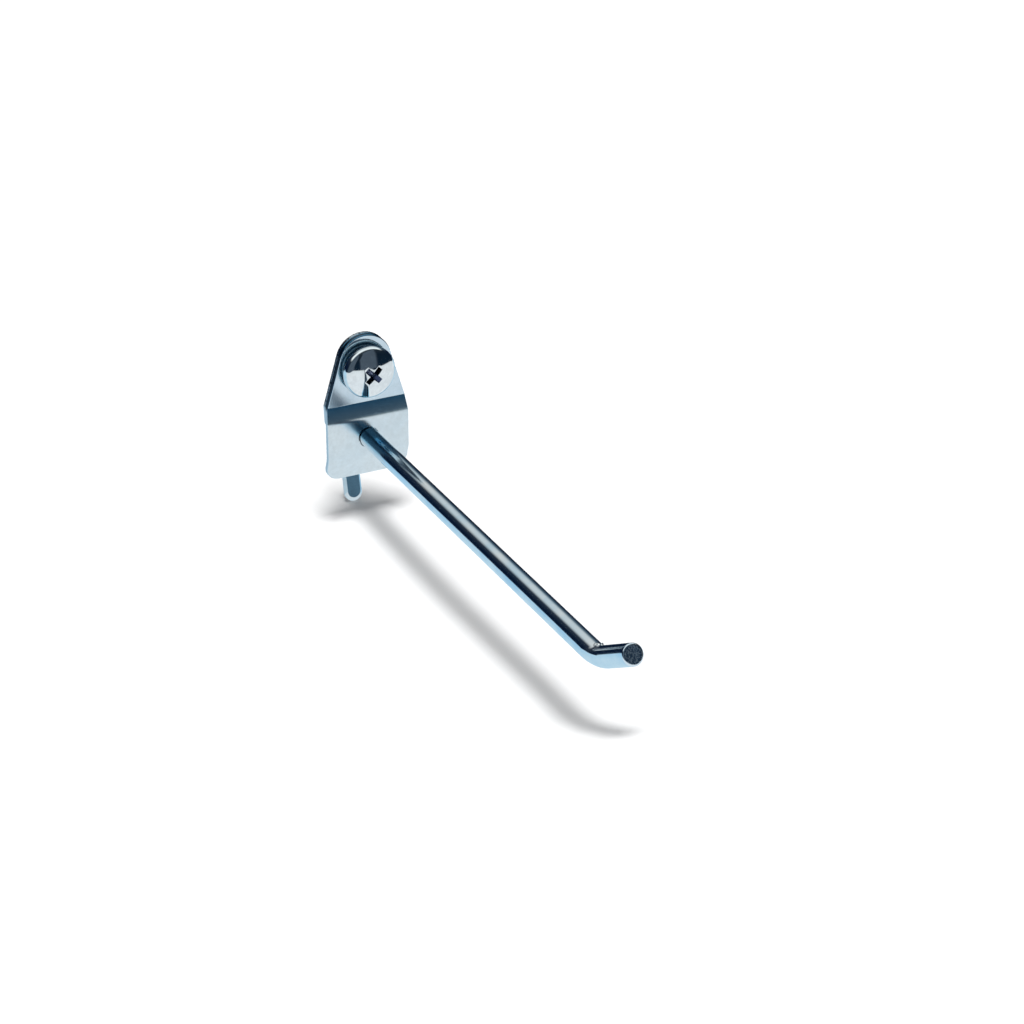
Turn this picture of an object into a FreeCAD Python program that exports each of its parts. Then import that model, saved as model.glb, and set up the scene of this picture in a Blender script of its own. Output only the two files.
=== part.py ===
import FreeCAD, Part
import math
import os

# Pegboard hook: a bent rod, held by its head behind a joggled front plate, a back plate with a tongue,
# and a locking screw.
# Millimetres. +Z is up, the rod points to the front along -Y, and the board lies behind the plane Y = 0.
# The origin is on that plane, level with the rod. Heights are measured from the rod's axis.

# Stock
sheet = 1.2  # thickness of both plates
rod_diameter = 4.76  # 3/16 in wire rod

# Board holes
hole_pitch = 25.4  # from the screw down to the tongue, one step of the board's holes

# Plate outline, seen from the front
arch_top = 25.8
arch_radius = 6.6
shoulder_width = 20.0  # where the tapered sides end
pad_width = 20.9
side_corner_radius = 1.5  # where the tapered sides turn straight
corner_radius = 3.6  # lower corners of the pad
rim_round = 0.25  # front edges of both plates, rolled over by the punch

# Joggle of the front plate, on its back surface
joggle_top = 8.7
joggle_bottom = 5.0
joggle_step = 1.0  # how far the pad stands forward, which is the room for the rod's head
joggle_bend_radius = 0.8  # inside, at its top
joggle_foot_radius = 4.0  # inside, where it eases into the pad

# Lip at the foot of the front plate, which leans back until its lower edge meets the board
lip_bend_above_tongue = 3.9
lip_edge_below_tongue = 2.55
lip_bend_radius = 3.5  # inside

# Back plate below the joggle
step_height = 3.6  # where the full width ends
step_width = 19.6
step_corner_radius = 0.9
tail_width = 9.0
tail_foot = -2.5  # where the tail starts to narrow to the tongue
tail_corner_radius = 0.6

# Tongue, which goes through the lower hole and down behind the board
tongue_width = 4.5
tongue_bend_radius = 2.0  # inside, where it leaves the plate
tongue_knee_radius = 1.5  # inside, where it turns down
tongue_drop = 13.5  # from the middle of its level leg to its tip
tongue_lean = 13.0  # degrees from upright, towards the board
tongue_tip_flat = 0.3  # straight part of the tip's edge
board_grip = 5.8  # from the board's face to the tongue's tip
lead_in_length = 1.1  # bevel at the tip, along the tongue's face
lead_in_side = 0.6  # bevel down the sides, across the tongue's face
lead_in_depth = 0.7
lead_in_height = 10.0  # from the tip up to where the bevel starts
lead_in_run_out = 1.5  # over which the bevel grows to its full width

# Rod
rod_reach = 114.6  # from the pad's face to the corner of the bend
tip_length = 15.8  # from the corner of the bend to the end
tip_angle = 30.0  # degrees above level
bend_radius = 17.6  # of the rod's middle line; the inside of the bend is creased by the forming die
end_chamfer = 0.35
rod_head_diameter = 6.8
rod_head_clearance = 0.1  # between the rod's head and the back plate
rod_hole_clearance = 0.25  # on the radius

# Locking screw
screw_height = 17.4
screw_diameter = 4.8
screw_length = 12.7  # under the head
screw_standoff = 1.5  # the head stands off the plate, as it is before it is driven home
screw_chamfer = 0.8
screw_hole_clearance = 0.3  # on the radius, in the front plate
tapped_hole_clearance = 0.05  # on the radius, in the back plate
head_diameter = 12.9
head_rim = 0.7
head_edge_bevel = 0.3
head_dome = 3.0
dome_edge_radius = 2.0
recess_span = 5.0  # across the cross, at the top of the dome
recess_wing = 1.25  # width of one wing at the mouth
recess_depth = 2.4
recess_taper = 0.55  # size at the bottom as a share of the mouth

# Places that follow from the sizes above
tongue_height = screw_height - hole_pitch
lip_bend = tongue_height + lip_bend_above_tongue
lip_edge = tongue_height - lip_edge_below_tongue
tongue_tip = tongue_height - tongue_drop
front_face = -2 * sheet  # of the front plate's upper half
pad_back = -sheet - joggle_step
pad_face = pad_back - sheet
reach = max(shoulder_width, pad_width)  # wider than any outline, for cutting tools


def vec(x, y, z):
    return FreeCAD.Vector(x, y, z)


def turned(point, angle, length):
    """The flat point that lies the given length away, at an angle in radians from the first axis."""
    return (point[0] + length * math.cos(angle), point[1] + length * math.sin(angle))


def heading(a, b):
    return math.atan2(b[1] - a[1], b[0] - a[0])


def offset_corner(before, corner, after, distance):
    """A corner of a line moved sideways, to the left of its direction."""
    half_turn = (heading(corner, after) - heading(before, corner)) / 2
    side = heading(before, corner) + half_turn + math.pi / 2
    return turned(corner, side, distance / math.cos(half_turn))


def offset_line(points, distance):
    """A line of straight runs moved sideways by a distance, to the left of its direction."""
    first = turned(points[0], heading(points[0], points[1]) + math.pi / 2, distance)
    last = turned(points[-1], heading(points[-2], points[-1]) + math.pi / 2, distance)
    middle = [offset_corner(*points[i - 1:i + 2], distance) for i in range(1, len(points) - 1)]
    return [first] + middle + [last]


def rounded_edges(points, radii, place):
    """Edges along straight runs, with an arc of its own radius at each inner corner.

    A radius of zero leaves the corner sharp. place turns a flat point into one in space.
    """
    edges = []
    start = points[0]
    for i, radius in enumerate(radii, 1):
        corner = points[i]
        arriving = heading(points[i - 1], corner)
        leaving = heading(corner, points[i + 1])
        turn = math.remainder(leaving - arriving, 2 * math.pi)
        if radius == 0:
            edges.append(Part.LineSegment(place(*start), place(*corner)))
            start = corner
            continue
        setback = radius * math.tan(abs(turn) / 2)
        arc_start = turned(corner, arriving, -setback)
        arc_end = turned(corner, leaving, setback)
        inward = arriving + turn / 2 + math.copysign(math.pi / 2, turn)
        arc_middle = turned(corner, inward, radius / math.cos(turn / 2) - radius)
        edges.append(Part.LineSegment(place(*start), place(*arc_start)))
        edges.append(Part.Arc(place(*arc_start), place(*arc_middle), place(*arc_end)))
        start = arc_end
    edges.append(Part.LineSegment(place(*start), place(*points[-1])))
    return [edge.toShape() for edge in edges]


def bent_sheet(points, inside_radii):
    """A wide bent sheet. points are (y, z) along one surface, and the metal lies to its left."""
    def place(y, z):
        return vec(-reach, y, z)

    other = offset_line(points, sheet)
    near_radii = []
    far_radii = []
    for i, radius in enumerate(inside_radii, 1):
        arriving = heading(points[i - 1], points[i])
        leaving = heading(points[i], points[i + 1])
        turn = math.remainder(leaving - arriving, 2 * math.pi)
        near_radii.append(radius if turn < 0 else radius + sheet)
        far_radii.append(radius + sheet if turn < 0 else radius)
    near = rounded_edges(points, near_radii, place)
    far = rounded_edges(other, far_radii, place)
    near_end = Part.LineSegment(place(*points[-1]), place(*other[-1])).toShape()
    far_end = Part.LineSegment(place(*other[0]), place(*points[0])).toShape()
    section = Part.Face(Part.Wire(Part.__sortEdges__(near + [near_end] + far + [far_end])))
    return section.extrude(vec(2 * reach, 0, 0))


def arch_side():
    """The point where the tapered side leaves the arch, on the right."""
    centre = (0.0, arch_top - arch_radius)
    foot = (shoulder_width / 2, joggle_top)
    distance = math.hypot(foot[0], foot[1] - centre[1])
    angle = heading(centre, foot) + math.acos(arch_radius / distance)
    return turned(centre, angle, arch_radius)


def outline_prism(right_points, radii):
    """A prism along Y of an arch-topped outline.

    right_points run down the right side to the middle line.
    """
    def place(x, z):
        return vec(x, -reach, z)

    right = rounded_edges(right_points, radii, place)
    left = [edge.mirror(vec(0, 0, 0), vec(1, 0, 0)) for edge in right]
    top_right = right_points[0]
    arch = Part.Arc(place(*top_right), place(0, arch_top), place(-top_right[0], top_right[1])).toShape()
    face = Part.Face(Part.Wire(Part.__sortEdges__([arch] + right + left)))
    return face.extrude(vec(0, 2 * reach, 0))


def rounded_rim(plate):
    """The plate with its front edges rounded, where a front surface meets a wall square to the board."""
    rim = []
    for edge in plate.Edges:
        middle = edge.valueAt((edge.FirstParameter + edge.LastParameter) / 2)
        faces = plate.ancestorsOfType(edge, Part.Face)
        to_front = sorted(-face.normalAt(*face.Surface.parameter(middle)).y for face in faces)
        if abs(to_front[0]) < 1e-6 and to_front[-1] > 0.5:
            rim.append(edge)
    return plate.makeFillet(rim_round, rim)


def bored(shape, radius, height):
    """The shape with a hole along Y on the middle line."""
    return shape.cut(Part.makeCylinder(radius, 2 * reach, vec(0, -reach, height), vec(0, 1, 0)))


def front_plate():
    back_surface = [
        (-sheet, arch_top + sheet),
        (-sheet, joggle_top),
        (pad_back, joggle_bottom),
        (pad_back, lip_bend),
        (0.0, lip_edge),
    ]
    # The metal lies in front, so the line runs from the foot up
    bent = bent_sheet(back_surface[::-1], [lip_bend_radius, joggle_foot_radius, joggle_bend_radius])
    outline = outline_prism(
        [
            arch_side(),
            (shoulder_width / 2, joggle_top),
            (pad_width / 2, joggle_bottom),
            (pad_width / 2, lip_edge),
            (0.0, lip_edge),
        ],
        [side_corner_radius, side_corner_radius, corner_radius],
    )
    plate = rounded_rim(bent.common(outline))
    plate = bored(plate, screw_diameter / 2 + screw_hole_clearance, screw_height)
    return bored(plate, rod_diameter / 2 + rod_hole_clearance, 0.0)


def tongue_face_at(height):
    """How far behind the board's face the tongue's front face is."""
    return board_grip + (height - tongue_tip) * math.tan(math.radians(tongue_lean))


def lead_in(plate):
    """The plate with a bevel down the tongue's sides and round its tip, on the side that faces the board."""
    lean = math.radians(tongue_lean)
    upward = vec(0, math.sin(lean), math.cos(lean))
    inward = vec(0, math.cos(lean), -math.sin(lean))
    tip = vec(0, board_grip, tongue_tip)
    half = tongue_width / 2

    def place(x, height, depth):
        return tip + vec(x, 0, 0) + upward * height + inward * depth

    def outline(side, foot, depth):
        """The tongue's outline, drawn in at its sides and at its foot."""
        width = half - side
        arc_height = foot + width
        full_height = lead_in_height - lead_in_run_out
        corners = [(half, lead_in_height), (width, full_height), (width, arc_height)]
        right = [place(x, height, depth) for x, height in corners]
        left = [place(-x, height, depth) for x, height in corners]
        edges = [
            Part.LineSegment(left[0], right[0]),
            Part.LineSegment(right[0], right[1]),
            Part.LineSegment(right[1], right[2]),
            Part.Arc(right[2], place(0, foot, depth), left[2]),
            Part.LineSegment(left[2], left[1]),
            Part.LineSegment(left[1], left[0]),
        ]
        return Part.Wire([edge.toShape() for edge in edges])

    core = Part.makeLoft([outline(lead_in_side, lead_in_length, 0), outline(0, 0, lead_in_depth)], True, True)
    corners = [
        place(-tongue_width, -tongue_width, 0),
        place(tongue_width, -tongue_width, 0),
        place(tongue_width, lead_in_height, 0),
        place(-tongue_width, lead_in_height, 0),
    ]
    blank = Part.Face(Part.makePolygon(corners + corners[:1])).extrude(inward * lead_in_depth)
    return plate.cut(blank.cut(core))


def back_plate():
    leg_under = tongue_height - sheet / 2
    tip_radius = (tongue_width - tongue_tip_flat) / 2
    front_surface = [
        (-sheet, arch_top + sheet),
        (-sheet, leg_under),
        (tongue_face_at(leg_under), leg_under),
        (tongue_face_at(tongue_tip - sheet), tongue_tip - sheet),
    ]
    bent = bent_sheet(front_surface, [tongue_bend_radius, tongue_knee_radius])
    outline = outline_prism(
        [
            arch_side(),
            (shoulder_width / 2, joggle_top),
            (step_width / 2, step_height),
            (tail_width / 2, step_height),
            (tail_width / 2, tail_foot),
            (tongue_width / 2, lip_bend),
            (tongue_width / 2, tongue_tip),
            (0.0, tongue_tip),
        ],
        [side_corner_radius, step_corner_radius, tail_corner_radius, 0, 0, tip_radius],
    )
    plate = rounded_rim(bent.common(outline))
    plate = bored(plate, screw_diameter / 2 + tapped_hole_clearance, screw_height)
    return lead_in(plate)


def hook_rod():
    radius = rod_diameter / 2
    angle = math.radians(tip_angle)
    corner = vec(0, pad_face - rod_reach, 0)
    tip_way = vec(0, -math.cos(angle), math.sin(angle))
    end = corner + tip_way * tip_length
    setback = bend_radius * math.tan(angle / 2)
    bend_start = corner + vec(0, setback, 0)
    bend_end = corner + tip_way * setback
    up_inside = vec(0, math.sin(angle / 2), math.cos(angle / 2))
    bend_middle = corner + up_inside * (bend_radius / math.cos(angle / 2) - bend_radius)
    root = vec(0, pad_back, 0)
    path = Part.Wire([
        Part.LineSegment(root, bend_start).toShape(),
        Part.Arc(bend_start, bend_middle, bend_end).toShape(),
        Part.LineSegment(bend_end, end).toShape(),
    ])
    section = Part.Wire(Part.makeCircle(radius, root, vec(0, 1, 0)))
    swept = path.makePipeShell([section], True, True)

    # The die's nose leaves a sharp crease on the inside, where the two straight rods would meet
    straight = Part.makeCylinder(radius, rod_reach + sheet + tip_length, root, vec(0, -1, 0))
    tip = Part.makeCylinder(radius, 2 * tip_length, corner - tip_way * tip_length, tip_way)
    rod = swept.common(straight.fuse(tip))

    chamfer_start = end - tip_way * end_chamfer
    end_core = Part.makeCone(radius, radius - end_chamfer, end_chamfer, chamfer_start, tip_way)
    end_blank = Part.makeCylinder(rod_diameter, end_chamfer, chamfer_start, tip_way)
    rod = rod.cut(end_blank.cut(end_core))

    head_depth = joggle_step - rod_head_clearance
    head = Part.makeCylinder(rod_head_diameter / 2, head_depth, root, vec(0, 1, 0))
    return rod.fuse(head).removeSplitter()


def cross_recess(mouth):
    """The tool that cuts the cross: two crossed wings on the diagonals, narrowing towards the bottom."""
    def wing_wire(share, depth):
        half_span = recess_span / 2 * share
        half_wing = recess_wing / 2 * share
        y = mouth + depth
        corners = [
            vec(-half_span, y, -half_wing),
            vec(half_span, y, -half_wing),
            vec(half_span, y, half_wing),
            vec(-half_span, y, half_wing),
        ]
        return Part.makePolygon(corners + corners[:1])

    above = -recess_depth
    share_above = 2 - recess_taper
    wing = Part.makeLoft([wing_wire(share_above, above), wing_wire(recess_taper, recess_depth)], True, True)
    crossing = wing.copy()
    wing.rotate(vec(0, 0, 0), vec(0, 1, 0), 45)
    crossing.rotate(vec(0, 0, 0), vec(0, 1, 0), -45)
    tool = wing.fuse(crossing)
    tool.translate(vec(0, 0, screw_height))
    return tool


def locking_screw():
    seat = front_face - screw_standoff
    rim_radius = head_diameter / 2
    rim_front = seat - head_rim
    crown = rim_front - head_dome
    tip = seat + screw_length

    def place(radius, y):
        return vec(radius, y, screw_height)

    # The dome is a flat crown arc that turns into a tighter arc, which ends upright at the rim
    run_in = rim_radius - dome_edge_radius
    crown_height = head_dome - dome_edge_radius
    crown_radius = (run_in ** 2 + head_dome ** 2 - dome_edge_radius ** 2) / (2 * crown_height)
    meet = math.asin(run_in / (crown_radius - dome_edge_radius))

    def on_edge_arc(angle):
        out = dome_edge_radius * math.sin(angle)
        forward = dome_edge_radius * math.cos(angle)
        return place(run_in + out, rim_front - forward)

    def on_crown_arc(angle):
        return place(crown_radius * math.sin(angle), crown + crown_radius * (1 - math.cos(angle)))

    upright = math.pi / 2
    shank = screw_diameter / 2
    edge_in = rim_radius - head_edge_bevel
    edge_up = seat - head_edge_bevel
    profile = [
        Part.LineSegment(place(0, tip), place(shank - screw_chamfer, tip)),
        Part.LineSegment(place(shank - screw_chamfer, tip), place(shank, tip - screw_chamfer)),
        Part.LineSegment(place(shank, tip - screw_chamfer), place(shank, seat)),
        Part.LineSegment(place(shank, seat), place(edge_in, seat)),
        Part.LineSegment(place(edge_in, seat), place(rim_radius, edge_up)),
        Part.LineSegment(place(rim_radius, edge_up), place(rim_radius, rim_front)),
        Part.Arc(on_edge_arc(upright), on_edge_arc((upright + meet) / 2), on_edge_arc(meet)),
        Part.Arc(on_crown_arc(meet), on_crown_arc(meet / 2), place(0, crown)),
        Part.LineSegment(place(0, crown), place(0, tip)),
    ]
    face = Part.Face(Part.Wire([edge.toShape() for edge in profile]))
    screw = face.revolve(vec(0, 0, screw_height), vec(0, 1, 0), 360)
    return screw.cut(cross_recess(crown))


def write(name, shape):
    solids = shape.Solids
    if len(solids) != 1 or not shape.isValid():
        raise RuntimeError(f"{name}: {len(solids)} solids, valid {shape.isValid()}")
    solids[0].exportStep(f"parts/{name}.step")
    print(f"{name}: {solids[0].Volume:.1f} mm3")


def main():
    os.makedirs("parts", exist_ok=True)
    write("front_plate", front_plate())
    write("back_plate", back_plate())
    write("hook_rod", hook_rod())
    write("locking_screw", locking_screw())


main()
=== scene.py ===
"""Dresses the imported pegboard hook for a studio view: zinc-plated sheet, drawn wire rod, domed screw."""
import math

import bpy
import numpy as np
from mathutils import Matrix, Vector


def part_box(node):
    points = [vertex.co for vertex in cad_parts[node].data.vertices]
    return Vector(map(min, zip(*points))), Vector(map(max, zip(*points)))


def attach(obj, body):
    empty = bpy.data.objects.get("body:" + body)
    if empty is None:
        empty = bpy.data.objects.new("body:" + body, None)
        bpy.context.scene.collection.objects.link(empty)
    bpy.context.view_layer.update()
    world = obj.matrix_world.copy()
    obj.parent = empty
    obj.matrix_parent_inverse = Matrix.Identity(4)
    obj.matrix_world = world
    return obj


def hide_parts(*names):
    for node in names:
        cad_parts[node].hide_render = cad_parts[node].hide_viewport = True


bl_info = {
    "name": "Pegboard hook dressing",
    "version": (1, 0, 0),
    "blender": (4, 5, 0),
    "location": "View3D > Sidebar > Hook",
    "description": "Adds the fine shapes, the finishes and the studio to the packed pegboard hook",
    "category": "Object",
}

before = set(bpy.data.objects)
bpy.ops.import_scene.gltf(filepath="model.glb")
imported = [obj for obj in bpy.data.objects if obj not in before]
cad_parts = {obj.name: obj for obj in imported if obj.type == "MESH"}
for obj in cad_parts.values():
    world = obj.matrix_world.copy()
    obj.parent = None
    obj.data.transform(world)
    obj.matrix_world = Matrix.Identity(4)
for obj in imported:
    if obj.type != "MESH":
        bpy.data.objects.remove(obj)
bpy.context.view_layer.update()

MM = 0.001
BODY = "root"
UPWARD = (0.0, 0.0, 1.0)

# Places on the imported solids
SHEET = 1.2 * MM  # thickness of each plate
PAD_BACK = -2.2 * MM  # back of the pad that the rod stands in
JOGGLE_FOOT, JOGGLE_TOP = 4.6 * MM, 8.8 * MM
PAD_FOOT, TONGUE_TOP = -2.0 * MM, -6.0 * MM  # between them, the pad's looks give way to the tongue's
POLISH_LOW, POLISH_HIGH = 10.0 * MM, 16.0 * MM  # between them, the sheet gets brighter towards the screw
SCREW_HEIGHT = 17.4 * MM
SCREW_LOW, SCREW_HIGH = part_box("locking_screw")
TONGUE_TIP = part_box("back_plate")[0].z

# Fineness of the new meshes
POLE = 0.02  # size of the ring next to a pole, as a share of the whole face
ROUND_ROD = 144
STRAIGHT_RINGS, BEND_RINGS, TIP_RINGS, ROLL_RINGS = 60, 121, 14, 6
CROWDING = 2.6  # how strongly the rings gather at the crease
FACE_SHARES = (0.93, 0.8, 0.6, 0.4, 0.2, POLE)  # rings on the end face
QUARTER_POINTS = 61  # round a quarter of the screw
CORNER_STEP = 0.012  # from a corner of the cross to the points beside it, in radians
BOTTOM_SHARES = (0.03, 0.45, 0.94)  # rings on the bottom of the cross
WALL_RINGS = 9
LIP_SHARES = (0.1, 0.25, 0.45, 0.7, 1.0)  # rings on the rolled edge of the cross
DOME_RINGS, DOME_EDGE_RINGS, BEVEL_RINGS = 22, 16, 5
RIM_SHARES = (0.35, 0.7, 1.0)
THREAD_RINGS = 18  # in one turn
RECESS_RINGS = len(BOTTOM_SHARES) + WALL_RINGS  # rings of the screw that lie inside the cross

# Small shapes of the rod. Places on its crease are given along the rod and round it
DIMPLE_PLACE = (-0.15 * MM, -0.10 * MM)
DIMPLE_DEPTH, DIMPLE_RADIUS = 0.22 * MM, 0.42 * MM
DIMPLE_RIM_HEIGHT, DIMPLE_RIM_RADIUS, DIMPLE_RIM_WIDTH = 0.12 * MM, 0.75 * MM, 0.22 * MM
NIB_PLACE = (0.35 * MM, -0.95 * MM)
NIB_HEIGHT, NIB_RADIUS, NIB_STRETCH = 0.55 * MM, 0.34 * MM, 0.8
CREASE_BLEND = 0.05 * MM  # how softly the sides turn at the very top of the bend
HEAD_EASE = 0.12 * MM  # eased edges of the formed head
FOOT_GAP = 0.02 * MM
END_HOLLOW = 0.05 * MM

# Small shapes of the screw
BOTTOM_CONE = 0.25 * MM  # depth of the cone at the bottom of the cross
BOTTOM_SHARE = 0.985  # depth where the walls of the cross begin, as a share of its depth
LIP, LIP_DROP = 0.30 * MM, 0.07 * MM  # edge of the cross, rolled over a little by the punch
DOME_SPREAD = 0.9  # spaces the dome's rings
NECK_EASE = 0.25 * MM  # where the shank meets the head
THREAD_LOW, THREAD_START = 0.5 * MM, 0.9 * MM  # from the seat to the first ring and to the thread
ROOT_FLAT, FLANK = 0.12, 0.72  # shares of the thread's wave
RUN_OUT = 0.8  # turns over which the thread fades in

# Colours and patterns of the finishes
CLOUD_TINT, CLOUD_SHARE = (0.86, 0.93, 0.98), 0.5
MOTTLE_DARK, MOTTLE_LIGHT = 0.94, 1.04
SCORE_SHADE = (0.05, 0.07, 0.09)  # painted shade in the scores of a cut edge
JOINT_SHADOW = (0.01, 0.015, 0.02)  # painted shadow along the gap between the two sheets
ROLLED_STRETCH = (900.0, 900.0, 120.0)
DRAWN_STRETCH = (90.0, 18.0, 1.0)
TORN_STRETCH = (2600.0, 700.0, -2200.0)
SHEAR_STRETCH, SHEAR_SLANT = (2600.0, 420.0, 2600.0), (0.35, 0.0, 0.0)
TORN_DARK, TORN_LIGHT = (0.14, 0.24, 0.36), (0.84, 0.94, 0.98)
WIRE_DARK, WIRE_LIGHT = (0.76, 0.91, 1.0), (1.12, 1.08, 1.04)  # multiply the wire's tint
ROOT_SHADE_FADES = ((-34.0 * MM, -6.0 * MM), (-20.0 * MM, -5.0 * MM))  # where the painted shade on top of the rod's root sets in, twice
CUT_ROUGHNESS = 0.16  # added on cut edges and on the torn end
GRAIN_DEPTH = 0.02 * MM

# The studio. Heights on the tent go from minus one, straight down, to one, straight up
FRONT_CLOTH = (
    (-1.00, (0.86, 0.88, 0.90)),
    (-0.60, (0.82, 0.85, 0.88)),
    (-0.30, (0.84, 0.86, 0.88)),
    (-0.11, (0.80, 0.83, 0.85)),
    (-0.09, (0.005, 0.016, 0.032)),
    (0.30, (0.006, 0.014, 0.026)),
    (0.88, (0.02, 0.03, 0.04)),
    (1.00, (0.05, 0.065, 0.08)),
)
BACK_CLOTH = (
    (-1.00, (0.55, 0.74, 0.85)),
    (-0.60, (0.54, 0.73, 0.86)),
    (-0.40, (0.47, 0.69, 0.84)),
    (-0.16, (0.48, 0.70, 0.86)),
    (-0.12, (0.38, 0.56, 0.70)),
    (-0.10, (0.004, 0.011, 0.030)),
    (0.20, (0.003, 0.010, 0.028)),
    (0.86, (0.04, 0.055, 0.075)),
    (1.00, (0.05, 0.065, 0.08)),
)
FRONT_SAG, DRAPE, FOLD = 0.07, 0.16, 0.32  # how far the dark cloth hangs lower
DRAPE_WAY = (-0.174, 0.985, 0.0)
CARD = (0.075, 0.10, 0.13)
SOFT_LIGHTS = (  # direction, where each begins and is full, as a cosine, and its colour
    ((0.579, 0.579, 0.574), 0.86, 1.0, (0.10, 0.155, 0.205)),
    ((0.16, 0.60, 0.784), 0.80, 0.98, (0.635, 0.68, 0.69)),
)
STRIP, STRIP_PLACE = (0.95, 1.0, 1.0), 0.20
KEY_TILT = (math.radians(12.0), math.radians(-3.0), 0.0)
FLOOR_REACH = 4.0
FLOOR_FRONT, FLOOR_BACK, FLOOR_STEPS = -0.25, 0.10, 141  # the part of the floor that is curved
FLOOR_CLEAR = 0.02 * MM  # below the tongue's tip
CAMERA_ANGLES = (-26.921, 27.207, 0.396)  # azimuth, elevation and roll in degrees
CAMERA_PLACE = (-0.20705, -0.48665, 0.24984)
CAMERA_SENSOR, CAMERA_LENS = 36.0, 85.835  # millimetres
CAMERA_NEAR, CAMERA_FAR = 0.01, 20.0


def length(label, about, millimetres):
    """A length property in metres, written here in millimetres."""
    return bpy.props.FloatProperty(
        name=label, description=about, default=millimetres * MM, precision=5, unit="LENGTH", min=0.0)


def degrees(label, about, value):
    """An angle property in radians, written here in degrees."""
    return bpy.props.FloatProperty(
        name=label, description=about, default=math.radians(value), subtype="ANGLE")


def share(label, about, value):
    """A property from nought to one."""
    return bpy.props.FloatProperty(
        name=label, description=about, default=value, min=0.0, max=1.0, subtype="FACTOR")


def colour(label, about, value):
    return bpy.props.FloatVectorProperty(
        name=label, description=about, default=value, size=3, min=0.0, max=1.0, subtype="COLOR")


class RodSettings(bpy.types.PropertyGroup):
    diameter: length("Diameter", "Thickness of the wire rod", 4.76)
    reach: length("Reach", "From the pad's back to the corner of the bend", 115.8)
    tip_length: length("Tip length", "From the corner of the bend to the end", 15.8)
    tip_angle: degrees("Tip angle", "How far the tip turns up", 30)
    bend_radius: length("Bend radius", "Radius of the middle line in the bend", 17.6)
    side_blend: length("Side blend", "How softly the sides turn in the bend", 2.2)
    end_chamfer: length("End chamfer", "Bevel round the end face", 0.35)
    head_diameter: length("Head diameter", "Formed head between the plates", 6.8)
    head_depth: length("Head depth", "Thickness of the formed head", 0.9)
    tint: colour("Tint", "Colour of the plated wire", (0.80, 0.85, 0.89))
    # Painted shade: darker, bluer top of the rod near the plate, where the plate hides the light behind.
    root_tint: colour("Root tint", "Bluer cast of the zinc close to the plate", (0.50, 0.79, 0.91))


class ScrewSettings(bpy.types.PropertyGroup):
    shank_diameter: length("Shank diameter", "Over the thread's crests", 4.8)
    pitch: length("Thread pitch", "From crest to crest", 1.06)
    thread_depth: length("Thread depth", "From crest to root", 0.6)
    head_diameter: length("Head diameter", "Across the round head", 12.9)
    rim: length("Rim", "Straight edge of the head", 0.7)
    rim_bevel: length("Rim bevel", "Bevel at the head's back edge", 0.3)
    dome: length("Dome", "Height of the dome above the rim", 3.0)
    dome_edge: length("Dome edge", "Radius where the dome turns down to the rim", 2.0)
    tip_chamfer: length("Tip chamfer", "Bevel at the free end", 0.8)
    recess_span: length("Recess span", "Across the cross at its mouth", 5.0)
    recess_wing: length("Recess wing", "Width of one wing at its mouth", 1.25)
    recess_depth: length("Recess depth", "From the crown to the bottom of the cross", 2.4)
    recess_taper: share("Recess taper", "Size at the bottom as a share of the mouth", 0.55)
    tint: colour("Tint", "Colour of the nickel plate", (0.80, 0.86, 0.885))
    # Painted shade inside the cross recess, on top of its duller finish.
    recess_tint: colour("Recess tint", "Colour of the dull metal inside the cross", (0.22, 0.26, 0.37))
    # Painted shade under the head, and painted highlight rings on it, set by the radii below.
    under_tint: colour("Under tint", "Colour of the dull underside of the head", (0.03, 0.14, 0.24))
    under_ring_tint: colour(
        "Under ring tint", "Colour of the bright rings on the underside", (0.68, 0.93, 1.0))
    under_ring: length("Under ring", "Radius of the inner bright ring", 5.20)
    under_ring_width: length("Under ring width", "From edge to edge of that ring", 0.40)
    under_edge: length("Under edge", "Radius where the outer bright ring begins", 5.90)


class PlateSettings(bpy.types.PropertyGroup):
    tint: colour("Tint", "Colour of the zinc plate", (0.72, 0.81, 0.85))
    upper_tint: colour("Upper tint", "Bluer colour of the zinc above the joggle", (0.66, 0.78, 0.86))
    # Painted shade: darkens the tongue's upward-leaning front face and turns it bluer.
    tongue_tint: colour("Tongue tint", "Cast of the tongue's front face", (0.46, 0.74, 0.91))
    # Painted shade at the joggle's top and a pale painted reflection at its foot, on faces that lean
    # upwards.
    joggle_top_tint: colour(
        "Joggle top tint", "Cast at the joggle's top, where the zinc is stretched", (0.20, 0.56, 0.78))
    joggle_foot_tint: colour("Joggle foot tint", "Cast at the joggle's foot", (0.92, 1.0, 1.0))
    # Painted dark reflection on the front plate's cut edge above the joggle; below it the edge keeps the
    # light cut colour.
    front_cut: colour(
        "Front cut edge", "Colour of the front plate's sheared edge, above the joggle", (0.07, 0.11, 0.16))
    back_cut: colour("Back cut edge", "Colour of the other sheared edges", (0.66, 0.70, 0.74))
    roughness: share("Roughness", "Of the flat faces", 0.20)
    upper_polish: share("Upper polish", "Roughness round the screw as a share of that elsewhere", 0.45)


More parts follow.
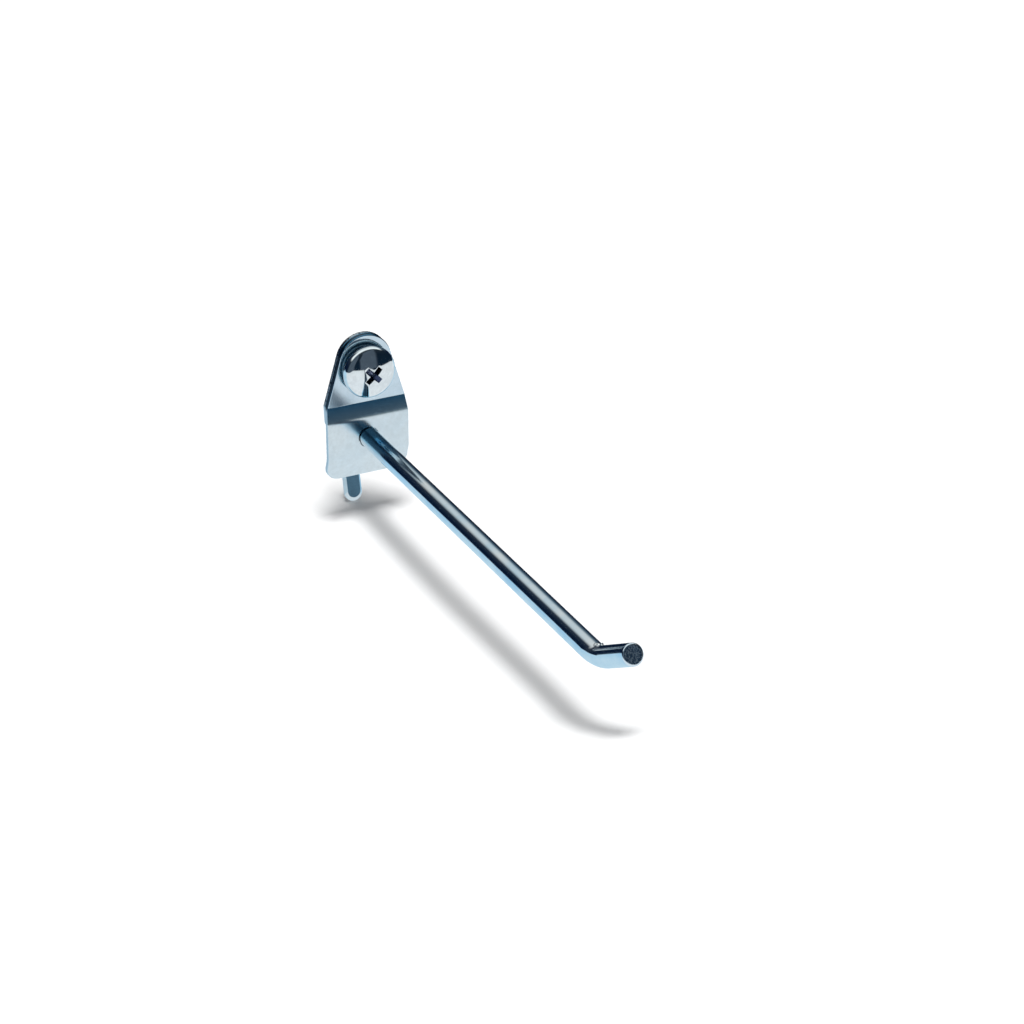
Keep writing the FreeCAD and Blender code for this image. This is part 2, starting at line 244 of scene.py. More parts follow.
class StageSettings(bpy.types.PropertyGroup):
    floor_tint: colour("Floor", "Colour of the floor", (0.90, 0.90, 0.90))
    sag: length("Sag", "How far the paper sags under the rod", 1.4)
    sag_place: length(
        "Sag place", "How far in front of the board it sags most, and how far the sag spreads", 40.0)
    curl_height: length("Curl height", "How far the paper rises in front", 12.0)
    curl_run: length("Curl run", "Over which it rises", 40.0)
    curl_start: bpy.props.FloatProperty(
        name="Curl start", description="Where the paper starts to rise", default=-0.102, unit="LENGTH")
    floor_glow: share("Floor glow", "What lifts the lit floor to white", 0.06)
    curl_glow: share("Curl glow", "What is added to it where the paper rises", 0.07)
    ambient: share("Ambient", "Light from all round on the floor", 0.19)
    sun: bpy.props.FloatProperty(
        name="Key light", description="Strength of the overhead light", default=3.1)
    sun_angle: degrees("Key size", "Apparent size of the overhead light", 20)
    tent_radius: bpy.props.FloatProperty(
        name="Tent radius", description="Radius of the light tent", default=1.2, unit="LENGTH")


class HookSettings(bpy.types.PropertyGroup):
    rod: bpy.props.PointerProperty(type=RodSettings)
    screw: bpy.props.PointerProperty(type=ScrewSettings)
    plates: bpy.props.PointerProperty(type=PlateSettings)
    stage: bpy.props.PointerProperty(type=StageSettings)


def loft(name, rows, marked=0, sharp_angle=35.0):
    """A closed skin over rings of points.

    rows has one ring per row, as (ring, place round the ring, xyz). The first and the last ring are drawn
    together to one point each, at their mean. The map runs once round in u, and along the rings in v, by
    length. The attribute "inner" is one on the first rings, as many as marked says, and nought elsewhere.
    """
    rings, around = rows.shape[:2]
    vertices = np.concatenate([rows.reshape(-1, 3), rows[0].mean(0)[None], rows[-1].mean(0)[None]])
    first_pole = rings * around
    ring = np.arange(rings - 1)[:, None]
    place = np.arange(around)[None, :]
    after = (place + 1) % around
    quads = np.stack([ring * around + place, ring * around + after,
                      (ring + 1) * around + after, (ring + 1) * around + place], -1).reshape(-1, 4)
    place = place[0]
    after = after[0]
    start = np.stack([np.full(around, first_pole), after, place], -1)
    last_ring = (rings - 1) * around
    end = np.stack([np.full(around, first_pole + 1), last_ring + place, last_ring + after], -1)
    mesh = bpy.data.meshes.new(name)
    mesh.from_pydata(vertices.tolist(), [], quads.tolist() + start.tolist() + end.tolist())

    steps = np.linalg.norm(np.diff(rows, axis=0), axis=2).mean(1)
    v = np.concatenate([[0.0], np.cumsum(steps)])
    u = np.arange(around + 1) / around
    left, right = u[:-1], u[1:]
    low, high = v[:-1, None], v[1:, None]
    flat = np.ones((rings - 1, around))
    quad_map = np.stack([flat * left, flat * low, flat * right, flat * low,
                         flat * right, flat * high, flat * left, flat * high], -1).reshape(-1)
    edge = np.ones(around)
    middle = (left + right) / 2
    start_map = np.stack([middle, edge * v[0], right, edge * v[0], left, edge * v[0]], -1).reshape(-1)
    end_map = np.stack([middle, edge * v[-1], left, edge * v[-1], right, edge * v[-1]], -1).reshape(-1)
    layer = mesh.uv_layers.new(name="along")
    layer.data.foreach_set("uv", np.concatenate([quad_map, start_map, end_map]).astype(np.float32))
    inner = mesh.attributes.new("inner", "FLOAT", "POINT")
    per_ring = (np.arange(rings) < marked).astype(np.float32)
    inner.data.foreach_set("value", np.append(np.repeat(per_ring, around), [per_ring[0], per_ring[-1]]))
    mesh.polygons.foreach_set("use_smooth", np.ones(len(mesh.polygons), bool))
    mesh.set_sharp_from_angle(angle=math.radians(sharp_angle))
    mesh.update()
    obj = bpy.data.objects.new(name, mesh)
    bpy.context.scene.collection.objects.link(obj)
    return obj


def bell(x, width):
    """A smooth bump of height one: e to the minus square of x over width."""
    return np.exp(-(x / width) ** 2)


def end_roll(s):
    """Radius of the rod's rolled end: the smallest that stays inside the solid's bevel."""
    return s.end_chamfer * (1 + math.sqrt(0.5))


def die_mark(along, around):
    """What the die adds to the rod's radius at the crease: a dimple with a raised rim, and a nib."""
    spot = np.hypot(along - DIMPLE_PLACE[0], around - DIMPLE_PLACE[1])
    rim = DIMPLE_RIM_HEIGHT * bell(spot - DIMPLE_RIM_RADIUS, DIMPLE_RIM_WIDTH)
    nib = np.hypot((along - NIB_PLACE[0]) / NIB_STRETCH, around - NIB_PLACE[1])
    return rim - DIMPLE_DEPTH * bell(spot, DIMPLE_RADIUS) + NIB_HEIGHT * bell(nib, NIB_RADIUS)


def rod_head_rows(s, phi):
    """Rings of the formed head, a disc with eased edges, from its middle at the back to the rod's foot."""
    circle = np.stack([np.cos(phi), np.zeros_like(phi), np.sin(phi)], -1)
    head = s.head_diameter / 2
    rings = (
        (head * POLE, s.head_depth),
        (head * 0.6, s.head_depth),
        (head - HEAD_EASE, s.head_depth),
        (head, s.head_depth - HEAD_EASE),
        (head, HEAD_EASE),
        (head - HEAD_EASE, 0.0),
        (s.diameter / 2 + FOOT_GAP, 0.0),
    )
    return np.stack([circle * radius + np.array([0.0, back, 0.0]) for radius, back in rings])


def rod_end_rows(s, phi, last):
    """Rings of the sheared end: its edge rolls over in a quarter circle, and its face is slightly hollow."""
    radius = s.diameter / 2
    roll = end_roll(s)
    tip_way = np.array([0.0, -math.cos(s.tip_angle), math.sin(s.tip_angle)])
    tip_up = np.array([0.0, math.sin(s.tip_angle), math.cos(s.tip_angle)])
    circle = np.cos(phi)[:, None] * np.array([1.0, 0.0, 0.0]) + np.sin(phi)[:, None] * tip_up
    rolled = [last + tip_way * (roll * math.sin(a)) + circle * (radius - roll * (1 - math.cos(a)))
              for a in np.linspace(0, math.pi / 2, ROLL_RINGS)[1:]]
    face = [last + tip_way * (roll - END_HOLLOW * (1 - k)) + circle * (radius - roll) * k
            for k in FACE_SHARES]
    return np.stack(rolled + face)


def rod_rows(s):
    """Rings along the rod's middle line, each square to it, between those of its head and of its end.

    The line is straight, then an arc, then straight. Each ring's radius is the wire's, but in the bend it is
    the smaller of that and the larger distance to the two straight rods, so the inside keeps a sharp crease
    where they meet. The change from one to the other is eased by a parabola that widens down the sides.
    """
    radius = s.diameter / 2
    turn = s.tip_angle
    setback = s.bend_radius * math.tan(turn / 2)
    straight = s.reach - setback
    arc = s.bend_radius * turn
    tip = s.tip_length - setback

    crowd = np.linspace(-1.0, 1.0, BEND_RINGS)
    in_bend = straight + arc / 2 * (1 + np.sinh(CROWDING * crowd) / math.sinh(CROWDING))
    along = np.concatenate([
        np.linspace(0.0, straight, STRAIGHT_RINGS)[:-1],
        in_bend,
        np.linspace(straight + arc, straight + arc + tip - end_roll(s), TIP_RINGS)[1:],
    ])
    phi = np.arange(ROUND_ROD) / ROUND_ROD * 2 * math.pi
    lean = np.clip((along - straight) / arc, 0, 1) * turn
    past = np.clip(along - straight - arc, 0, None)
    y = -np.minimum(along, straight) - s.bend_radius * np.sin(lean) - past * math.cos(turn)
    z = s.bend_radius * (1 - np.cos(lean)) + past * math.sin(turn)

    side = np.cos(phi)[None, :]
    up = np.sin(phi)[None, :]
    lift_one = z[:, None]
    lift_two = ((y + s.reach) * math.sin(turn) + z * math.cos(turn))[:, None]

    def to_straight_rod(lift, tilt):
        a = side ** 2 + (up * np.cos(tilt)) ** 2
        b = lift * up * np.cos(tilt)
        return (-b + np.sqrt(np.maximum(b ** 2 - a * (lift ** 2 - radius ** 2), 0))) / a

    one = to_straight_rod(lift_one, lean[:, None])
    two = to_straight_rod(lift_two, turn - lean[:, None])
    blend = CREASE_BLEND + s.side_blend * (1 - np.maximum(up, 0))
    eased = np.maximum(one, two) + np.maximum(blend - np.abs(one - two), 0) ** 2 / (4 * blend)
    bent = (along[:, None] > straight) & (along[:, None] < straight + arc)
    size = np.where(bent, np.minimum(radius, eased), radius)
    size = size + die_mark((along - straight - arc / 2)[:, None], (phi - math.pi / 2)[None, :] * radius)

    wire = np.stack([size * side, y[:, None] + size * up * np.sin(lean)[:, None],
                     z[:, None] + size * up * np.cos(lean)[:, None]], -1)
    last = np.array([0.0, y[-1], z[-1]])
    rows = np.concatenate([rod_head_rows(s, phi), wire, rod_end_rows(s, phi, last)])
    return rows + np.array([0.0, PAD_BACK, 0.0])


def cross_radius(angle, span, wing):
    """Distance from the middle to the outline of two crossed bars, at an angle from one of them."""
    c = np.abs(np.cos(angle)) + 1e-9
    n = np.abs(np.sin(angle)) + 1e-9
    return np.maximum(np.minimum(span / c, wing / n), np.minimum(span / n, wing / c))


def screw_angles(corner):
    """Angles round the screw: even steps, and three more at each corner of the cross."""
    corners = np.array([corner, math.pi / 4, math.pi / 2 - corner])
    even = np.linspace(0, math.pi / 2, QUARTER_POINTS)[:-1]
    quarter = np.unique(np.concatenate([even, corners, corners - CORNER_STEP, corners + CORNER_STEP]))
    return np.concatenate([quarter + k * math.pi / 2 for k in range(4)])


def screw_rows(s):
    """Rings from the bottom of the cross out over the dome, down the rim and along the thread to the tip.

    Inside the recess a ring is the cross's outline, drawn in by the taper; on the dome it grows evenly into
    a circle; on the shank its radius follows the thread, a trapezium wave of the height and the angle.
    """
    half_span = s.recess_span / 2
    half_wing = s.recess_wing / 2
    angle = screw_angles(math.atan2(half_wing, half_span))
    cross = cross_radius(angle, half_span, half_wing)
    head = s.head_diameter / 2
    run_in = head - s.dome_edge
    crown_radius = (run_in ** 2 + s.dome ** 2 - s.dome_edge ** 2) / (2 * (s.dome - s.dome_edge))
    meet = math.asin(run_in / (crown_radius - s.dome_edge))

    def dome_drop(r):
        """How far the dome lies behind its crown."""
        return crown_radius - np.sqrt(crown_radius ** 2 - r ** 2)

    def drawn_in(depth):
        return 1 + (s.recess_taper - 1) * depth / s.recess_depth

    mouth = cross
    for _ in range(4):
        mouth = cross * drawn_in(dome_drop(mouth))
    rings = []

    def add(r, drop):
        rings.append((np.broadcast_to(r, angle.shape), np.broadcast_to(drop, angle.shape)))

    bottom = s.recess_depth
    for k in BOTTOM_SHARES:
        add(cross * drawn_in(bottom) * k, bottom + BOTTOM_CONE * (1 - k))
    wall_foot = bottom * BOTTOM_SHARE
    for k in np.linspace(0, 1, WALL_RINGS):
        depth = wall_foot + (dome_drop(mouth) + LIP_DROP - wall_foot) * k
        add(cross * drawn_in(depth), depth)
    for k in LIP_SHARES:
        add(mouth + LIP * k, dome_drop(mouth + LIP * k) + LIP_DROP * (1 - k) ** 2)
    outer = crown_radius * math.sin(meet)
    for k in np.linspace(0, 1, DOME_RINGS)[1:]:
        r = mouth + LIP + (outer - mouth - LIP) * k ** DOME_SPREAD
        add(r, dome_drop(r))
    for a in np.linspace(meet, math.pi / 2, DOME_EDGE_RINGS)[1:]:
        add(run_in + s.dome_edge * math.sin(a), s.dome - s.dome_edge * math.cos(a))
    seat = s.dome + s.rim
    for k in RIM_SHARES:
        add(head, s.dome + (s.rim - s.rim_bevel) * k)
    for a in np.linspace(0, math.pi / 2, BEVEL_RINGS)[1:]:
        add(head - s.rim_bevel * (1 - math.cos(a)), seat - s.rim_bevel * (1 - math.sin(a)))

    shank = s.shank_diameter / 2
    core = shank - s.thread_depth
    add((head + shank) / 2, seat)
    add(core + NECK_EASE, seat)
    add(core, seat + NECK_EASE)
    whole = SCREW_HIGH.y - SCREW_LOW.y
    for h in np.arange(seat + THREAD_LOW, whole, s.pitch / THREAD_RINGS):
        turns = h / s.pitch - angle / (2 * math.pi)
        wave = np.abs((turns % 1.0) - 0.5) * 2
        crest = np.clip((wave - ROOT_FLAT) / FLANK, 0, 1)
        fade = np.clip((h - seat - THREAD_START) / (RUN_OUT * s.pitch), 0, 1)
        cone = shank - np.clip(h - whole + s.tip_chamfer, 0, None)
        add(np.minimum(core + s.thread_depth * crest * fade, cone), h)
    tip_radius = np.minimum(rings[-1][0], shank - s.tip_chamfer)
    for k in (1.0, 0.5, POLE):
        add(tip_radius * k, whole)

    r = np.stack([ring[0] for ring in rings])
    drop = np.stack([ring[1] for ring in rings])
    turned = angle + math.pi / 4
    return np.stack([r * np.cos(turned), SCREW_LOW.y + drop, SCREW_HEIGHT + r * np.sin(turned)], -1)


def sphere_rows(radius, rings=48, around=96):
    """A ball with its middle at the origin: rings of latitude, from the top down."""
    lat = np.linspace(math.pi / 2, -math.pi / 2, rings)[:, None] * 0.999
    lon = np.arange(around)[None, :] / around * 2 * math.pi
    return radius * np.stack([np.cos(lat) * np.cos(lon), np.cos(lat) * np.sin(lon),
                              np.sin(lat) * np.ones_like(lon)], -1)


class Nodes:
    """Short calls for building one node tree."""

    def __init__(self, tree):
        self.tree = tree

    def add(self, kind, inputs=None, **settings):
        node = self.tree.nodes.new(kind)
        for key, value in settings.items():
            setattr(node, key, value)
        for key, value in (inputs or {}).items():
            self.put(node, key, value)
        return node

    def put(self, node, key, value):
        """Sets an input, or links it where the value is another node's output."""
        socket = node.inputs[key]
        if isinstance(value, bpy.types.NodeSocket):
            self.tree.links.new(value, socket)
        else:
            socket.default_value = value

    def math(self, operation, a, b=0.0, c=0.0):
        return self.add("ShaderNodeMath", {0: a, 1: b, 2: c}, operation=operation).outputs[0]

    def dot(self, a, b):
        node = self.add("ShaderNodeVectorMath", {0: a, 1: b}, operation="DOT_PRODUCT")
        return node.outputs["Value"]

    def axes(self, vector):
        return self.add("ShaderNodeSeparateXYZ", {0: vector}).outputs

    def ramp(self, value, low, high, low_out=0.0, high_out=1.0, smooth=True):
        node = self.add("ShaderNodeMapRange", {
            "Value": value, "From Min": low, "From Max": high, "To Min": low_out, "To Max": high_out,
        }, interpolation_type="SMOOTHSTEP" if smooth else "LINEAR", clamp=True)
        return node.outputs["Result"]

    def band(self, value, low, full_low, full_high, high):
        """One between the two inner values, falling to nought at the outer ones."""
        return self.math("MULTIPLY", self.ramp(value, low, full_low), self.ramp(value, high, full_high))

    def mix(self, share_in, a, b, blend="MIX"):
        node = self.add("ShaderNodeMix", data_type="RGBA", blend_type=blend)
        for index, value in ((0, share_in), (6, a), (7, b)):
            if isinstance(value, bpy.types.NodeSocket):
                self.tree.links.new(value, node.inputs[index])
            else:
                node.inputs[index].default_value = value
        return node.outputs[2]

    def noise(self, vector, scale, detail, roughness):
        node = self.add("ShaderNodeTexNoise", {
            "Vector": vector, "Scale": scale, "Detail": detail, "Roughness": roughness})
        return node.outputs["Fac"]

    def bump(self, height, strength, distance):
        node = self.add("ShaderNodeBump", {"Height": height, "Strength": strength, "Distance": distance})
        return node.outputs["Normal"]


def rgba(value):
    return (*value, 1.0)


def new_group(name, inputs, outputs):
    """An empty node group with named float or vector sockets; gives its nodes, its inputs and its end."""
    tree = bpy.data.node_groups.new(name, "ShaderNodeTree")
    for label, kind, value in inputs:
        socket = tree.interface.new_socket(label, in_out="INPUT", socket_type=kind)
        if value is not None:
            socket.default_value = value
    for label, kind in outputs:
        tree.interface.new_socket(label, in_out="OUTPUT", socket_type=kind)
    n = Nodes(tree)
    start = n.add("NodeGroupInput")
    end = n.add("NodeGroupOutput")
    return n, start.outputs, end


def plating_clouds():
    """Soft clouds of the plating bath: slow changes of tint and polish, a mottle and a fine grain."""
    n, given, end = new_group("plating_clouds", [
        ("Place", "NodeSocketVector", None),
        ("Cloud size", "NodeSocketFloat", 90.0),
        ("Grain size", "NodeSocketFloat", 2600.0),
        ("Mottle size", "NodeSocketFloat", 700.0),
    ], [("Cloud", "NodeSocketFloat"), ("Grain", "NodeSocketFloat"), ("Mottle", "NodeSocketFloat")])
    cloud = n.noise(given["Place"], given["Cloud size"], 4.0, 0.55)
    n.put(end, "Cloud", n.ramp(cloud, 0.3, 0.7))
    n.put(end, "Grain", n.noise(given["Place"], given["Grain size"], 2.0, 0.6))
    n.put(end, "Mottle", n.noise(given["Place"], given["Mottle size"], 3.0, 0.6))
    return n.tree


def drawn_lines():
    """Fine lines left by drawing or rolling: noise that is long in one direction and short across it."""
    n, given, end = new_group("drawn_lines", [
        ("Place", "NodeSocketVector", None),
        ("Stretch", "NodeSocketVector", (1.0, 1.0, 1.0)),
    ], [("Lines", "NodeSocketFloat")])
    scaled = n.add("ShaderNodeVectorMath", {0: given["Place"], 1: given["Stretch"]}, operation="MULTIPLY")
    n.put(end, "Lines", n.noise(scaled.outputs["Vector"], 1.0, 3.0, 0.6))
    return n.tree


def cut_edge():
    """Mask of walls that stand square to the board, with the slanting scores of the shear."""
    n, given, end = new_group("cut_edge", [
        ("Place", "NodeSocketVector", None),
        ("Facing", "NodeSocketVector", None),
    ], [("Mask", "NodeSocketFloat"), ("Scores", "NodeSocketFloat")])
    sideways = n.math("ABSOLUTE", n.dot(given["Facing"], (0.0, 1.0, 0.0)))
    n.put(end, "Mask", n.ramp(sideways, 0.35, 0.1))
    slanted = n.add("ShaderNodeMapping", {
        "Vector": given["Place"], "Scale": SHEAR_STRETCH, "Rotation": SHEAR_SLANT})
    n.put(end, "Scores", n.noise(slanted.outputs["Vector"], 1.0, 2.0, 0.55))
    return n.tree


def effect(n, maker, **inputs):
    """Places a shared effect in a material, building its node group the first time; gives its outputs."""
    node = n.add("ShaderNodeGroup")
    node.node_tree = bpy.data.node_groups.get(maker.__name__) or maker()
    for key, value in inputs.items():
        n.put(node, key, value)
    return node.outputs


def new_material(name):
    """A material with an empty metal shader; gives the material, its nodes and the shader."""
    material = bpy.data.materials.new(name)
    material.use_nodes = True
    material.node_tree.nodes.clear()
    n = Nodes(material.node_tree)
    shader = n.add("ShaderNodeBsdfPrincipled")
    out = n.add("ShaderNodeOutputMaterial")
    material.node_tree.links.new(shader.outputs[0], out.inputs["Surface"])
    shader.inputs["Metallic"].default_value = 1.0
    return material, n, shader


def zinc_face(n, s, z, facing, bath):
    """Colour of the sheet's faces: bluer above the joggle, with painted shade on faces that lean upwards:
    dark at the joggle's top, pale at its foot, bluish dark on the tongue.
    """
    above = n.ramp(z, JOGGLE_FOOT - 0.6 * MM, JOGGLE_TOP + 0.7 * MM)
    plain = n.mix(above, rgba(s.tint), rgba(s.upper_tint))
    clouded = n.mix(n.math("MULTIPLY", bath["Cloud"], CLOUD_SHARE), plain, rgba(CLOUD_TINT), "MULTIPLY")
    # Painted shade and reflection: dark at the joggle's top, pale at its foot, darker on the tongue, only
    # where the faces lean upwards.
    up_joggle = n.ramp(z, JOGGLE_FOOT, JOGGLE_TOP, smooth=False)
    joggle = n.mix(up_joggle, rgba(s.joggle_foot_tint), rgba(s.joggle_top_tint))
    cast = n.mix(n.ramp(z, TONGUE_TOP, PAD_FOOT), rgba(s.tongue_tint), joggle)
    leaning = n.ramp(n.dot(facing, UPWARD), 0.10, 0.22)
    face = n.mix(leaning, clouded, cast, "MULTIPLY")
    mottle = n.ramp(bath["Mottle"], 0.3, 0.7, MOTTLE_DARK, MOTTLE_LIGHT, smooth=False)
    return n.mix(1.0, face, mottle, "MULTIPLY")


def sheared_edge(n, s, upper_cut_tone_and_shade, axes, scores):
    """Colour of the cut edges: above the joggle they are scored, with painted shade in the scores, a painted
    dark reflection on the front plate's edge, and a painted shadow line where the sheets meet.
    """
    upper = n.ramp(axes["Z"], JOGGLE_TOP - 1.2 * MM, JOGGLE_TOP)
    # Painted shade in the scores, over the edge's upper colour, which on the front plate is a painted dark
    # reflection.
    scored = n.mix(n.ramp(scores, 0.32, 0.52), rgba(SCORE_SHADE), rgba(upper_cut_tone_and_shade))
    edge = n.mix(upper, rgba(s.back_cut), scored)
    # Painted shadow: a near-black line along the gap between the two sheets, above the joggle.
    from_joint = n.math("ABSOLUTE", n.math("ADD", axes["Y"], SHEET))
    joint_shadow_mask = n.math("MULTIPLY", n.ramp(from_joint, 0.30 * MM, 0.10 * MM), upper)
    return n.mix(joint_shadow_mask, edge, rgba(JOINT_SHADOW))


def zinc_sheet(name, s, upper_cut_tone_and_shade):
    """Bright blue-white zinc on rolled sheet, with sheared edges."""
    material, n, shader = new_material(name)
    place = n.add("ShaderNodeTexCoord").outputs["Object"]
    facing = n.add("ShaderNodeNewGeometry").outputs["Normal"]
    axes = n.axes(place)
    bath = effect(n, plating_clouds, Place=place)
    rolled = effect(n, drawn_lines, Place=place, Stretch=ROLLED_STRETCH)
    cut = effect(n, cut_edge, Place=place, Facing=facing)
    face = zinc_face(n, s, axes["Z"], facing, bath)
    edge = sheared_edge(n, s, upper_cut_tone_and_shade, axes, cut["Scores"])
    n.put(shader, "Base Color", n.mix(cut["Mask"], face, edge))
    polish = n.ramp(bath["Cloud"], 0.0, 1.0, s.roughness * 0.85, s.roughness * 1.2, smooth=False)
    upper_share = n.ramp(axes["Z"], POLISH_LOW, POLISH_HIGH, 1.0, s.upper_polish)
    polish = n.math("MULTIPLY", polish, upper_share)
    n.put(shader, "Roughness", n.math("MULTIPLY_ADD", cut["Mask"], CUT_ROUGHNESS, polish))
    flat_lines = n.math("MULTIPLY", rolled["Lines"], n.math("SUBTRACT", 1.0, cut["Mask"]))
    scores = n.math("MULTIPLY", cut["Scores"], n.math("MULTIPLY", cut["Mask"], 4.0))
    height = n.math("ADD", n.math("ADD", flat_lines, scores), n.math("MULTIPLY", bath["Grain"], 0.35))
    n.put(shader, "Normal", n.bump(height, 0.10, GRAIN_DEPTH))
    return material


def drawn_wire(name, s):
    """Zinc over drawn wire: long fine lines along the rod, painted shade that makes its top darker and bluer
    near the plate, and a torn end.
    """
    material, n, shader = new_material(name)
    place = n.add("ShaderNodeTexCoord").outputs["Object"]
    facing = n.add("ShaderNodeNewGeometry").outputs["Normal"]
    mapped = n.add("ShaderNodeUVMap", uv_map="along").outputs["UV"]
    bath = effect(n, plating_clouds, Place=place)
    drawn = effect(n, drawn_lines, Place=mapped, Stretch=DRAWN_STRETCH)
    score = effect(n, drawn_lines, Place=place, Stretch=TORN_STRETCH)
    tint = np.array(s.tint)
    zinc = n.mix(bath["Cloud"], rgba(tint * WIRE_DARK), rgba(tint * WIRE_LIGHT))
    upward = n.ramp(n.dot(facing, UPWARD), -0.1, 0.5)
    y = n.axes(place)["Y"]
    # Painted shade: the rod's top is multiplied darker and bluer near the plate, twice.
    for start, full in ROOT_SHADE_FADES:
        near_plate_shade = n.math("MULTIPLY", upward, n.ramp(y, start, full))
        zinc = n.mix(near_plate_shade, zinc, rgba(s.root_tint), "MULTIPLY")
    tip_way = (0.0, -math.cos(s.tip_angle), math.sin(s.tip_angle))
    sheared = n.ramp(n.dot(facing, tip_way), 0.90, 0.97)
    torn = n.mix(n.ramp(score["Lines"], 0.42, 0.60), rgba(TORN_DARK), rgba(TORN_LIGHT))
    n.put(shader, "Base Color", n.mix(sheared, zinc, torn))
    polish = n.ramp(drawn["Lines"], 0.3, 0.7, 0.07, 0.16, smooth=False)
    n.put(shader, "Roughness", n.math("MULTIPLY_ADD", sheared, CUT_ROUGHNESS, polish))
    height = n.math("ADD", drawn["Lines"], n.math("MULTIPLY", bath["Grain"], 0.15))
    torn_height = n.math("MULTIPLY", score["Lines"], n.math("MULTIPLY", sheared, 6.0))
    n.put(shader, "Normal", n.bump(n.math("ADD", height, torn_height), 0.12, GRAIN_DEPTH))
    return material


def head_underside(n, s, axes):
    """Colour of the screw head's underside: painted shade, with painted highlight rings, one inside and
    another at its edge.
    """
    flat = n.add("ShaderNodeCombineXYZ", {"X": axes["X"], "Z": axes["Z"]}).outputs["Vector"]
    middle = (0.0, 0.0, SCREW_HEIGHT)
    from_axis = n.add("ShaderNodeVectorMath", {0: flat, 1: middle}, operation="DISTANCE").outputs["Value"]
    from_ring = n.math("ABSOLUTE", n.math("SUBTRACT", from_axis, s.under_ring))
    inner_ring = n.ramp(from_ring, s.under_ring_width * 0.7, s.under_ring_width * 0.3)
    outer_ring = n.ramp(from_axis, s.under_edge - 0.1 * MM, s.under_edge + 0.1 * MM)
    ring = n.math("MAXIMUM", inner_ring, outer_ring)
    return n.mix(ring, rgba(s.under_tint), rgba(s.under_ring_tint))


def bright_nickel(name, s):
    """Bright nickel on the screw, with duller metal and painted shade in its cross and under its head, and
    painted highlight rings under the head.
    """
    material, n, shader = new_material(name)
    place = n.add("ShaderNodeTexCoord").outputs["Object"]
    axes = n.axes(place)
    bath = effect(n, plating_clouds, Place=place)
    inner = n.add("ShaderNodeAttribute", attribute_name="inner").outputs["Fac"]
    tint = np.array(s.tint)
    mottle = n.ramp(bath["Mottle"], 0.35, 0.65)
    bright = n.mix(mottle, rgba(tint * MOTTLE_DARK), rgba(tint * MOTTLE_LIGHT))
    # Painted shade: the rings inside the cross are darkened to a navy grey.
    coloured = n.mix(n.ramp(inner, 0.2, 0.9), bright, rgba(s.recess_tint))
    seat = SCREW_LOW.y + s.dome + s.rim
    under = n.band(axes["Y"], seat - 0.12 * MM, seat - 0.04 * MM, seat + 0.1 * MM, seat + 0.4 * MM)
    # Painted shade and painted highlight rings on the underside of the head, which is made dull and not
    # metallic.
    n.put(shader, "Base Color", n.mix(under, coloured, head_underside(n, s, axes)))
    n.put(shader, "Metallic", n.math("SUBTRACT", 1.0, under))
    polish = n.ramp(bath["Cloud"], 0.0, 1.0, 0.05, 0.09, smooth=False)
    polish = n.math("MULTIPLY_ADD", inner, 0.10, polish)
    n.put(shader, "Roughness", n.math("MULTIPLY_ADD", under, 0.40, polish))
    n.put(shader, "Normal", n.bump(bath["Grain"], 0.05, GRAIN_DEPTH / 2))
    return material


def fitted(obj, material, node):
    """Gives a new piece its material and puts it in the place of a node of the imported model."""
    obj.data.materials.append(material)
    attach(obj, BODY)
    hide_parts(node)


class HOOK_OT_plates(bpy.types.Operator):
    """Gives both plates their zinc finish"""
    bl_idname = "pegboard_hook.plates"
    bl_label = "Finish the plates"

    def execute(self, context):
        settings = context.scene.pegboard_hook.plates
        # The front plate's upper cut colour is a painted dark reflection; the back plate's is its plain cut
        # colour.
        for node, upper_cut_tone_and_shade in (("front_plate", settings.front_cut), ("back_plate", settings.back_cut)):
            material = zinc_sheet(node + "_zinc", settings, upper_cut_tone_and_shade)
            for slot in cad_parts[node].material_slots:
                slot.material = material
        return {"FINISHED"}


class HOOK_OT_rod(bpy.types.Operator):
    """Makes the bent rod with its struck bend and sheared end"""
    bl_idname = "pegboard_hook.rod"
    bl_label = "Make the rod"

    def execute(self, context):
        settings = context.scene.pegboard_hook.rod
        obj = loft("wire_rod", rod_rows(settings))
        fitted(obj, drawn_wire("wire_rod_zinc", settings), "hook_rod")
        return {"FINISHED"}


class HOOK_OT_screw(bpy.types.Operator):
    """Makes the locking screw with its cross recess and thread"""
    bl_idname = "pegboard_hook.screw"
    bl_label = "Make the screw"

    def execute(self, context):
        settings = context.scene.pegboard_hook.screw
        obj = loft("domed_screw", screw_rows(settings), marked=RECESS_RINGS)
        fitted(obj, bright_nickel("screw_nickel", settings), "locking_screw")
        return {"FINISHED"}


def background_rays(n):
    """One for rays that should see the pale surround: from the camera, and through gloss or glass."""
    path = n.add("ShaderNodeLightPath").outputs
    seen = n.math("MAXIMUM", path["Is Camera Ray"], path["Is Glossy Ray"])
    return n.math("MAXIMUM", seen, path["Is Transmission Ray"])


def stage_material(name):
    """A material with no shader yet; gives the material, its nodes and its output."""
    material = bpy.data.materials.new(name)
    material.use_nodes = True
    material.node_tree.nodes.clear()
    n = Nodes(material.node_tree)
    return material, n, n.add("ShaderNodeOutputMaterial")


def floor_material(s):
    """White paper, with a faint glow that grows where the paper rises."""
    material, n, out = stage_material("floor_paper")
    matte = n.add("ShaderNodeBsdfDiffuse", {"Color": rgba(s.floor_tint)})
    y = n.axes(n.add("ShaderNodeTexCoord").outputs["Object"])["Y"]
    risen = s.curl_start - s.curl_run / 4
    lift = n.ramp(y, s.curl_start, risen, s.floor_glow, s.floor_glow + s.curl_glow)
    glow = n.add("ShaderNodeEmission", {"Strength": n.math("MULTIPLY", background_rays(n), lift)})
    both = n.add("ShaderNodeAddShader", {0: matte.outputs[0], 1: glow.outputs[0]})
    n.put(out, "Surface", both.outputs[0])
    return material


